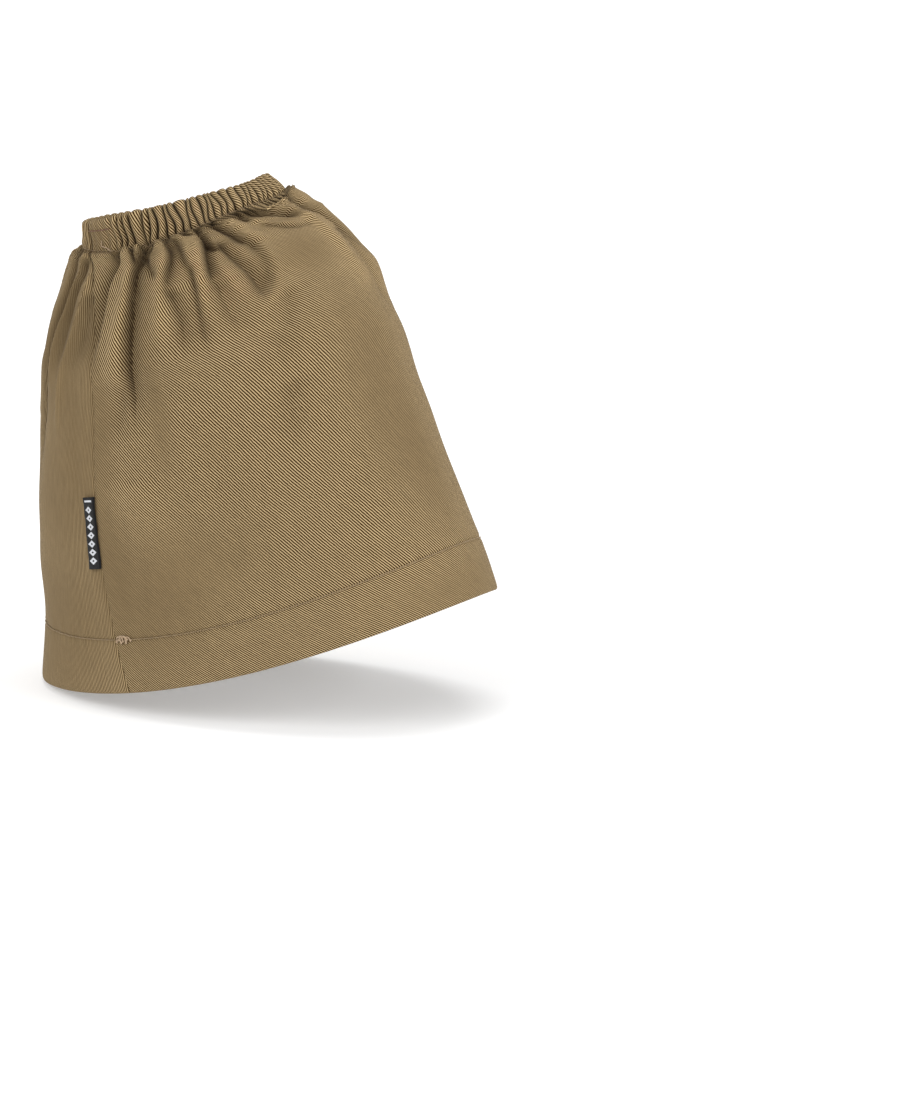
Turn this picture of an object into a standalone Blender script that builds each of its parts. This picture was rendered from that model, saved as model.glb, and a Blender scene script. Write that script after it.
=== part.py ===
"""Boot cover: a tube of cotton drill, gathered on an elastic ring round the ankle, flaring to a hemmed foot.

Row frame: metres, +Z up, toe towards -Y, the side with the seam and the label at -X.
The origin is the centre of the gathered ring, where the ankle holds the cover up.

A place on the cloth is given by two sizes:
    around  share of the girth, from the centre back (0) by the -X side (0.25) to the front (0.5) and on
    down    distance along the cloth from the rim, in millimetres
"""

import math

import bmesh
import bpy
import numpy as np

MM = 0.001

# Driving sizes, in millimetres
CASING_DEPTH = 13.0
HEM_STITCHING = 148.0
CLOTH_LENGTH = 166.0
PANEL_WALL = 1.2
CASING_WALL = 2.4
HEM_WALL = 2.2
SEAM_GAP = 0.3

# The tube's sections, from the rim to the hem, in millimetres.
# front and back are the section's ends along Y, each with its height. side_height is its height across X,
# side_lean is how much higher than that the -X side is, and the other side lower, and far_lift is how far
# the ring is drawn up just past the front.
SECTION_COLUMNS = (
    "down", "front", "front_height", "back", "back_height", "half_width", "side_height", "side_lean", "far_lift",
)
SECTIONS = (
    (0.0, -30.8, 11.4, 32.5, -5.8, 33.0, 0.7, 0.8, 0.8),
    (13.0, -38.5, 5.5, 35.0, -14.5, 31.5, -11.5, 2.0, 4.2),
    (17.0, -38.7, 2.0, 37.0, -18.5, 34.5, -12.5, 1.5, 5.1),
    (22.0, -43.8, 1.0, 39.5, -23.0, 38.0, -15.0, 0.5, 4.0),
    (30.0, -48.5, -2.0, 42.0, -30.5, 42.0, -21.0, 0.0, 2.1),
    (40.0, -58.5, -7.5, 46.0, -39.5, 45.0, -30.5, 0.0, 0.3),
    (52.0, -67.0, -16.0, 49.0, -51.0, 47.5, -42.0, 0.0, 0.0),
    (70.0, -80.0, -29.0, 51.0, -69.0, 49.5, -59.5, 0.0, 0.0),
    (95.0, -90.5, -53.5, 52.5, -94.5, 51.0, -84.5, 0.0, 0.0),
    (122.0, -102.5, -80.0, 52.5, -121.5, 51.5, -111.5, 0.0, 0.0),
    (148.0, -114.5, -106.0, 51.0, -147.5, 52.5, -137.5, 0.0, 0.0),
    (166.0, -121.5, -123.5, 52.0, -168.0, 55.5, -155.0, 0.0, 0.0),
)
FAR_LIFT_AT = 0.60
FAR_LIFT_REACH = 0.13

# Where the seam lies at each distance down. The casing is flat beside it, so it lies further back there.
SEAM_COLUMNS = ("down", "around")
SEAM = (
    (0.0, 0.140),
    (13.0, 0.145),
    (24.0, 0.190),
    (45.0, 0.200),
    (67.0, 0.197),
    (100.0, 0.187),
    (140.0, 0.182),
    (148.0, 0.184),
    (166.0, 0.199),
)
GATHERS_SPREAD_BY = 34.0

# Gathers round the ring, from the seam by the -X side: the stretch, how many gathers, the width of each
# and its height.
GATHER_RUNS = (
    ("flat join", 5, 4.2, 0.10),
    ("narrow", 3, 2.1, 0.95),
    ("wide flat", 2, 2.9, 0.45),
    ("inverted V", 2, 1.9, 1.15),
    ("side", 18, 2.8, 1.00),
    ("front", 14, 3.0, 0.90),
    ("far wide", 2, 3.3, 0.50),
    ("far side", 12, 2.9, 1.00),
    ("back", 8, 3.2, 0.90),
)
GATHER_WIDTH_VARIES = 0.2
GATHER_HEIGHT_VARIES = 0.2
GATHER_VALLEY = 0.45
GATHERS_END_AT = 32.0

# Folds below the casing: a line from (top_around, top_down) to (foot_around, foot_down), its height
# outwards (a trough is negative) and its half width. The columns are in this order.
FOLDS = (
    ("back edge", 0.192, 21, 0.130, 76, 2.0, 4.5),
    ("behind the edge", 0.140, 15, 0.078, 94, -2.6, 5.5),
    ("second back edge", 0.157, 18, 0.112, 58, 1.3, 4.0),
    ("beside the seam", 0.240, 15, 0.192, 56, -1.8, 4.5),
    ("ridge by the valley", 0.254, 15, 0.228, 60, 1.6, 4.5),
    ("long valley", 0.262, 14, 0.249, 72, -3.0, 4.2),
    ("side ridge", 0.302, 16, 0.286, 54, 1.5, 4.5),
    ("side valley", 0.315, 15, 0.318, 58, -2.0, 4.0),
    ("second ridge", 0.338, 17, 0.334, 50, 1.1, 4.0),
    ("first V, back arm", 0.361, 16, 0.349, 50, -2.0, 4.0),
    ("first V, front arm", 0.378, 20, 0.399, 54, -1.6, 4.0),
    ("short crease", 0.392, 17, 0.415, 38, -1.5, 3.0),
    ("level trough", 0.452, 16, 0.504, 34, -1.9, 3.5),
    ("shoulder edge", 0.478, 20, 0.512, 58, 1.7, 4.5),
    ("past the shoulder", 0.521, 17, 0.528, 60, -1.9, 4.5),
    ("far shoulder", 0.559, 16, 0.548, 62, 3.7, 12.0),
    ("shoulder puff", 0.579, 26, 0.545, 60, 1.3, 11.0),
    ("side hollow", 0.404, 66, 0.372, 96, -1.2, 14.0),
    ("far level trough", 0.600, 18, 0.580, 48, -2.0, 4.0),
    ("far V, front arm", 0.628, 16, 0.640, 60, -1.8, 4.5),
    ("far V, back arm", 0.668, 17, 0.655, 54, -1.8, 4.0),
    ("far ridge", 0.695, 15, 0.706, 64, 1.6, 5.0),
    ("far long valley", 0.730, 14, 0.742, 78, -2.8, 4.5),
    ("far second ridge", 0.762, 16, 0.772, 56, 1.4, 4.5),
    ("far short valley", 0.795, 15, 0.790, 46, -2.0, 4.0),
    ("far back valley", 0.835, 15, 0.850, 62, -2.2, 5.0),
    ("far back ridge", 0.875, 18, 0.900, 70, 1.6, 6.0),
    ("back valley", 0.925, 15, 0.960, 82, -2.2, 6.0),
    ("far hollow", 0.620, 70, 0.600, 100, -1.0, 14.0),
)
FOLD_RISE = 6.0
FOLD_FADE = 0.35

# Rows of cloth, in millimetres: down the cloth, then how far its outer and inner faces lie inside the form
CASING_ROWS = (
    (0.0, 0.9, 1.6),
    (1.3, 0.0, CASING_WALL),
    (6.5, -0.3, CASING_WALL),
    (11.7, 0.0, CASING_WALL),
    (CASING_DEPTH - SEAM_GAP / 2, 0.7, CASING_WALL - 0.8),
)
PANEL_DOWNS = (CASING_DEPTH + SEAM_GAP / 2, 16, 20, 26, 34, 44, 56, 74, 98, 124, HEM_STITCHING - SEAM_GAP / 2)
PANEL_ROWS = tuple((down, 0.0, PANEL_WALL) for down in PANEL_DOWNS)
HEM_ROWS = (
    (HEM_STITCHING + SEAM_GAP / 2, 0.0, HEM_WALL),
    (157.0, 0.0, HEM_WALL),
    (CLOTH_LENGTH - 0.8, 0.0, HEM_WALL),
    (CLOTH_LENGTH, 0.7, HEM_WALL - 0.8),
)
COLUMNS_PER_GATHER = 3
HEM_COLUMNS_PER_GATHER = 1

# The label, caught in the seam and lying towards the back
LABEL_TOP = 99.0
LABEL_LENGTH = 24.5
LABEL_WIDTH = 4.6
LABEL_CLEARANCE = 0.45
LABEL_THICKNESS = 0.8
LABEL_COLUMNS = 4
LABEL_ROWS = 5

# Linear colours of the cloth and the label
DRILL_COLOUR = (0.258, 0.195, 0.102, 1.0)
LABEL_COLOUR = (0.010, 0.010, 0.011, 1.0)


def clear_scene():
    """Remove the objects that the file starts with."""
    for obj in list(bpy.data.objects):
        bpy.data.objects.remove(obj, do_unlink=True)


def make_material(name, colour, roughness):
    """A plain cloth material."""
    material = bpy.data.materials.new(name)
    material.use_nodes = True
    shader = material.node_tree.nodes["Principled BSDF"]
    shader.inputs["Base Color"].default_value = colour
    shader.inputs["Roughness"].default_value = roughness
    shader.inputs["Metallic"].default_value = 0.0
    material.diffuse_color = colour
    return material


def smooth_curve(knots, values, at):
    """A cubic curve through the knots, with no overshoot between even ones."""
    steps = np.diff(knots)
    slopes = np.diff(values) / steps
    tangents = np.empty_like(values)
    tangents[0], tangents[-1] = slopes[0], slopes[-1]
    tangents[1:-1] = (slopes[:-1] * steps[1:] + slopes[1:] * steps[:-1]) / (steps[:-1] + steps[1:])
    k = np.clip(np.searchsorted(knots, at, side="right") - 1, 0, len(steps) - 1)
    t = (at - knots[k]) / steps[k]
    ends = (1 + 2 * t) * (1 - t) ** 2 * values[k] + t * t * (3 - 2 * t) * values[k + 1]
    bends = t * (1 - t) ** 2 * tangents[k] + t * t * (t - 1) * tangents[k + 1]
    return ends + steps[k] * bends


def soft_step(t):
    """Rises smoothly from 0 to 1."""
    t = np.clip(t, 0.0, 1.0)
    return t * t * (3 - 2 * t)


def read_table(names, rows, down):
    """Each named column of a table, read at the distances down the cloth."""
    columns = dict(zip(names, np.array(rows, dtype=float).T))
    return {name: smooth_curve(columns["down"], column, down) for name, column in columns.items()}


def girth_at(down):
    """The section's girth, near enough for spacing."""
    size = read_table(SECTION_COLUMNS, SECTIONS, down)
    half_length = (size["back"] - size["front"]) / 2
    return 2 * math.pi * np.sqrt((half_length ** 2 + size["half_width"] ** 2) / 2)


def form(around, down):
    """A point on the smooth tube."""
    size = read_table(SECTION_COLUMNS, SECTIONS, down)
    half_length = (size["back"] - size["front"]) / 2
    half_width = size["half_width"]
    longness = (half_length ** 2 - half_width ** 2) / (half_length ** 2 + half_width ** 2)
    turn = 2 * math.pi * (0.5 - around)
    angle = turn + longness / 4 * np.sin(2 * turn)
    middle = (size["front_height"] + size["back_height"]) / 2
    tilt = (size["front_height"] - size["back_height"]) / 2 * np.cos(angle)
    lean = size["side_lean"] * np.sin(angle)
    past_front = (around - FAR_LIFT_AT + 0.5) % 1.0 - 0.5
    lift = size["far_lift"] * np.cos(math.pi / 2 * np.clip(past_front / FAR_LIFT_REACH, -1.0, 1.0)) ** 2
    return np.stack((
        -half_width * np.sin(angle),
        (size["front"] + size["back"]) / 2 - half_length * np.cos(angle),
        middle + tilt + lean + lift + (size["side_height"] - middle) * np.sin(angle) ** 2,
    ), axis=-1)


def outward(around, down):
    """The unit normal of the smooth tube, pointing out."""
    small_turn, small_drop = 0.002, 0.2
    across = form(around + small_turn, down) - form(around - small_turn, down)
    along = form(around, down + small_drop) - form(around, down - small_drop)
    normal = np.cross(along, across)
    return normal / np.linalg.norm(normal, axis=-1, keepdims=True)


def gather_layout():
    """Each gather's width and height, and the share of the ring at which each one starts."""
    widths = []
    heights = []
    for _, gathers, width, height in GATHER_RUNS:
        for _ in range(gathers):
            number = len(widths)
            widths.append(width * (1 + GATHER_WIDTH_VARIES * math.sin(2.4 * number)))
            heights.append(height * (1 + GATHER_HEIGHT_VARIES * math.sin(1.7 * number + 1)))
    starts = np.concatenate(([0.0], np.cumsum(widths)))
    return starts / starts[-1], np.array(heights)


GATHER_STARTS, GATHER_HEIGHTS = gather_layout()
GATHER_COUNT = len(GATHER_HEIGHTS)


def seam_at(down):
    """Where the seam lies."""
    return read_table(SEAM_COLUMNS, SEAM, down)["around"]


def around_at(gather, down):
    """Where a gather's line lies: crowded as the ring has it, then evenly spread over the panel."""
    spread = soft_step((down - CASING_DEPTH) / (GATHERS_SPREAD_BY - CASING_DEPTH))
    on_ring = np.interp(gather, np.arange(GATHER_COUNT + 1), GATHER_STARTS)
    share = on_ring * (1 - spread) + gather / GATHER_COUNT * spread
    return seam_at(down) + share


def gather_relief(gather, down):
    """Height of the gathers: rounded ridges and narrow valleys that end a little below the casing."""
    number = np.minimum(gather.astype(int), GATHER_COUNT - 1)
    ridge = np.sqrt(np.abs(np.sin(math.pi * gather)))
    fade = 1 - soft_step((down - CASING_DEPTH) / (GATHERS_END_AT - CASING_DEPTH))
    return GATHER_HEIGHTS[number] * (ridge - GATHER_VALLEY) * fade


def fold_relief(around, down):
    """Height of the large folds below the casing."""
    relief = np.zeros_like(around)
    girth = girth_at(down)
    for _, top_around, top_down, foot_around, foot_down, height, half_width in FOLDS:
        along = np.clip((down - top_down) / (foot_down - top_down), 0.0, 1.0)
        line = top_around + (foot_around - top_around) * along
        aside = (around - line + 0.5) % 1.0 - 0.5
        profile = np.exp(-(aside * girth / half_width) ** 2)
        rising = soft_step((down - top_down) / FOLD_RISE + 0.5)
        dying = 1 - soft_step((down - foot_down) / (FOLD_FADE * (foot_down - top_down)) + 0.5)
        relief += height * profile * rising * dying
    return relief


def cloth_point(gather, around, down, inset, gathered):
    """A point in the wall: on the folded form, moved in, with the gathers where they are wanted."""
    height = fold_relief(around, down) - inset + gather_relief(gather, down) * gathered
    return form(around, down) + outward(around, down) * height[:, None]


def flat_cut(columns, rows):
    """A flat, two-faced slab of cloth whose corners count columns, rows and faces (0 outer, 1 inner)."""
    mesh = bmesh.new()
    bmesh.ops.create_grid(mesh, x_segments=columns, y_segments=rows, size=0.5)
    for vertex in mesh.verts:
        vertex.co = (round((vertex.co.x + 0.5) * columns), round((vertex.co.y + 0.5) * rows), 0)
    inner = bmesh.ops.extrude_face_region(mesh, geom=mesh.faces[:])
    for element in inner["geom"]:
        if isinstance(element, bmesh.types.BMVert):
            element.co.z = 1
    return mesh


def finish(name, mesh, points, material, collection):
    """Set the points in metres and make the object, closed and facing out."""
    for vertex, point in zip(mesh.verts, points * MM):
        vertex.co = point
    bmesh.ops.recalc_face_normals(mesh, faces=mesh.faces)
    if mesh.calc_volume(signed=True) < 0:
        bmesh.ops.reverse_faces(mesh, faces=mesh.faces)
    bmesh.ops.triangulate(mesh, faces=mesh.faces)
    data = bpy.data.meshes.new(name)
    mesh.to_mesh(data)
    mesh.free()
    data.shade_smooth()
    data.set_sharp_from_angle(angle=math.radians(50))
    data.materials.append(material)
    obj = bpy.data.objects.new(name, data)
    collection.objects.link(obj)
    return obj


def make_band(name, rows, columns_per_gather, material, collection):
    """A band of cloth all round, open at the seam by the seam's gap."""
    columns = GATHER_COUNT * columns_per_gather
    mesh = flat_cut(columns, len(rows) - 1)
    flat = np.array([vertex.co for vertex in mesh.verts])
    column, row, face = np.rint(flat).astype(int).T
    table = np.array(rows, dtype=float)
    down = table[row, 0]
    inset = table[row, 1 + face]
    gather = column / columns_per_gather
    half_gap = SEAM_GAP / 2 / girth_at(down)
    around = around_at(gather, down) + half_gap * (column == 0) - half_gap * (column == columns)
    points = cloth_point(gather, around, down, inset, face == 0)
    return finish(name, mesh, points, material, collection)


def make_label(material, collection):
    """The folded label: the panel's own points beside the seam, moved out."""
    mesh = flat_cut(LABEL_COLUMNS, LABEL_ROWS)
    flat = np.array([vertex.co for vertex in mesh.verts])
    column, row, face = np.rint(flat).astype(int).T
    down = LABEL_TOP + LABEL_LENGTH * row / LABEL_ROWS
    aside = SEAM_GAP + LABEL_WIDTH * column / LABEL_COLUMNS
    around = seam_at(down) - aside / girth_at(down)
    inset = -LABEL_CLEARANCE - LABEL_THICKNESS * (1 - face)
    points = cloth_point(np.zeros(len(down)), around, down, inset, False)
    return finish("woven_label", mesh, points, material, collection)


def main():
    clear_scene()
    collection = bpy.data.collections.new("boot_cover")
    bpy.context.scene.collection.children.link(collection)
    casing = make_material("gathered_drill", DRILL_COLOUR, 0.88)
    panel = make_material("cotton_drill", DRILL_COLOUR, 0.85)
    hem = make_material("doubled_drill", DRILL_COLOUR, 0.86)
    label = make_material("label_tape", LABEL_COLOUR, 0.60)
    make_band("elastic_casing", CASING_ROWS, COLUMNS_PER_GATHER, casing, collection)
    make_band("body_panel", PANEL_ROWS, COLUMNS_PER_GATHER, panel, collection)
    make_band("hem_band", HEM_ROWS, HEM_COLUMNS_PER_GATHER, hem, collection)
    make_label(label, collection)


main()
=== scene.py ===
"""Boot cover in khaki cotton drill: its cloth, sewing, label and studio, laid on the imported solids.

A place on the cloth is given by two sizes:
    around  share of the girth, from the centre back (0) by the -X side (0.25) to the front (0.5) and on
    down    distance along the cloth from the rim, in millimetres
Tables and cloth sizes are in millimetres, and finished points and the sizes in the panel are in metres.
"""

import math

import bmesh
import bpy
import numpy as np
from bpy.props import FloatProperty, FloatVectorProperty, IntProperty, PointerProperty
from mathutils import Matrix, Vector


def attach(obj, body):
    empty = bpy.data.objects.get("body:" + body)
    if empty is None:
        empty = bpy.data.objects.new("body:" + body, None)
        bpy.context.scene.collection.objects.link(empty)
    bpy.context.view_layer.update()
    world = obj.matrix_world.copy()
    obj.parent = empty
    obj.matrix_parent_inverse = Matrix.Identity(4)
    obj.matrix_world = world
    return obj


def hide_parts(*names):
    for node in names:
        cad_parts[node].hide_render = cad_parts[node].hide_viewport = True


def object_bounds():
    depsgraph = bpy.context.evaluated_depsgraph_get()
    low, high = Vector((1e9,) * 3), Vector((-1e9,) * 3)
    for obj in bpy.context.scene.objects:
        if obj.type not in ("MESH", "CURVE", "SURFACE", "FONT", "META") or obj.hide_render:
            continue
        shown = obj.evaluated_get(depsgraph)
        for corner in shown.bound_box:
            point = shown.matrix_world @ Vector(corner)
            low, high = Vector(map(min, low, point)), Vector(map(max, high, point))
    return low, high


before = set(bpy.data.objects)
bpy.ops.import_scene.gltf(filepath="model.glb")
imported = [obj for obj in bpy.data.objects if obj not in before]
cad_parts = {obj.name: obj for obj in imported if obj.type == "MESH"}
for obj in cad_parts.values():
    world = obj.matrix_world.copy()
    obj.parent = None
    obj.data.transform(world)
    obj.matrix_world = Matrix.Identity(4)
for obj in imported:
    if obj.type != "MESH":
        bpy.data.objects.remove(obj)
CAD_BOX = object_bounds()

bl_info = {
    "name": "Boot cover",
    "version": (1, 0, 0),
    "blender": (4, 5, 0),
    "location": "3D View > Sidebar > Boot cover",
    "description": "A gathered boot cover sewn from cotton drill, with its stitching, label and studio",
    "category": "Object",
}

MM = 0.001

# Where the cover is sewn, in millimetres down from the rim
CASING_DEPTH = 13.0
HEM_STITCHING = 148.0
CLOTH_LENGTH = 166.0

# The tube's sections, as in the part's source. front and back are a section's ends along Y, each with its height.
# side_height is its height across X, side_lean how much higher than that the -X side is, and far_lift how far the
# ring is drawn up past the front.
SECTION_COLUMNS = (
    "down", "front", "front_height", "back", "back_height", "half_width", "side_height", "side_lean", "far_lift",
)
SECTIONS = (
    (0, -30.8, 11.4, 32.5, -5.8, 33, 0.7, 0.8, 0.8),
    (13, -38.5, 5.5, 35, -14.5, 31.5, -11.5, 2, 4.2),
    (17, -38.7, 2, 37, -18.5, 34.5, -12.5, 1.5, 5.1),
    (22, -43.8, 1, 39.5, -23, 38, -15, 0.5, 4),
    (30, -48.5, -2, 42, -30.5, 42, -21, 0, 2.1),
    (40, -58.5, -7.5, 46, -39.5, 45, -30.5, 0, 0.3),
    (52, -67, -16, 49, -51, 47.5, -42, 0, 0),
    (70, -80, -29, 51, -69, 49.5, -59.5, 0, 0),
    (95, -90.5, -53.5, 52.5, -94.5, 51, -84.5, 0, 0),
    (122, -102.5, -80, 52.5, -121.5, 51.5, -111.5, 0, 0),
    (148, -114.5, -106, 51, -147.5, 52.5, -137.5, 0, 0),
    (166, -121.5, -123.5, 52, -168, 55.5, -155, 0, 0),
)
FAR_LIFT_AT = 0.60
FAR_LIFT_REACH = 0.13

# Where the seam lies
SEAM_COLUMNS = ("down", "around")
SEAM = (
    (0, 0.14), (9, 0.141), (11, 0.1415), (13, 0.145), (16, 0.166), (19, 0.183), (24, 0.196), (34, 0.201), (45, 0.201),
    (67, 0.197), (83, 0.191), (100, 0.187), (124, 0.183), (140, 0.182), (148, 0.184), (155, 0.189), (166, 0.199),
)

# Where the valleys between the gathers lie at the rim and at the stitching, from the flat join beside the seam to
# just past the front, and the height of the gather after each
GATHER_COLUMNS = ("rim", "stitching", "height")
GATHERS_SHOWN = (
    (0.14, 0.142, 0.15), (0.159, 0.16, 0.12), (0.178, 0.179, 0.15), (0.197, 0.198, 0.15), (0.215, 0.2155, 0.9),
    (0.2345, 0.2215, 0.9), (0.2435, 0.232, 0.95), (0.251, 0.252, 0.85), (0.28, 0.271, 0.6), (0.294, 0.2745, 1.15),
    (0.2995, 0.293, 1.1), (0.318, 0.309, 0.85), (0.3265, 0.32, 1.05), (0.335, 0.335, 1.15), (0.355, 0.3455, 0.7),
    (0.3625, 0.3555, 1.1), (0.375, 0.367, 1.05), (0.385, 0.377, 0.95), (0.394, 0.3855, 0.85), (0.4015, 0.396, 0.9),
    (0.412, 0.407, 1.1), (0.429, 0.418, 0.95), (0.447, 0.43, 0.75), (0.458, 0.44, 0.85), (0.467, 0.451, 1),
    (0.477, 0.464, 1), (0.487, 0.475, 0.95), (0.502, 0.487, 1.05), (0.512, 0.502, 1.15), (0.522, 0.52, 1.15),
    (0.541, 0.538, 1.15), (0.557, 0.554, 1.1),
)
# The other gathers, round the far side and the back: how many, and how uneven they are
GATHERS_HIDDEN = 35
GATHER_VARIES = 0.20
# A gather's ridge and valley, how steep its walls are and how far they wander
GATHER_RIDGE = 0.50
GATHER_VALLEY = 1.10
GATHER_STEEPNESS = 0.72
GATHER_WANDER = 0.32
# How far below the casing the walls stay steep, and the shortest and the longest valley end
GATHERS_CROWD_FOR = 13.0
GATHER_ENDS = (3.0, 8.0)
# How far down the cloth lies evenly round, and between which places the far shoulder has no gathers
GATHERS_SPREAD_BY = 34.0
SMOOTH_SHOULDER = (0.525, 0.66)
# The puff of cloth under the casing
PUFF_HEIGHT = 0.7
PUFF_AT = 17.5
PUFF_REACH = 3.2
# How far the cloth is drawn straight up: at each gather of the rim, in the rim's tip past the front, and where the
# far shoulder starts. The tip reaches so far back and on round, and the shoulder so far round, up and down.
RIM_BUMPS = 0.5
RIM_TIP = 1.5
RIM_TIP_AT = 0.546
RIM_TIP_REACH = (0.055, 0.020)
SHOULDER_RISE = 2.6
SHOULDER_RISE_AT = (0.594, 15.8)
SHOULDER_RISE_REACH = (0.040, 3.0, 4.2)

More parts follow.
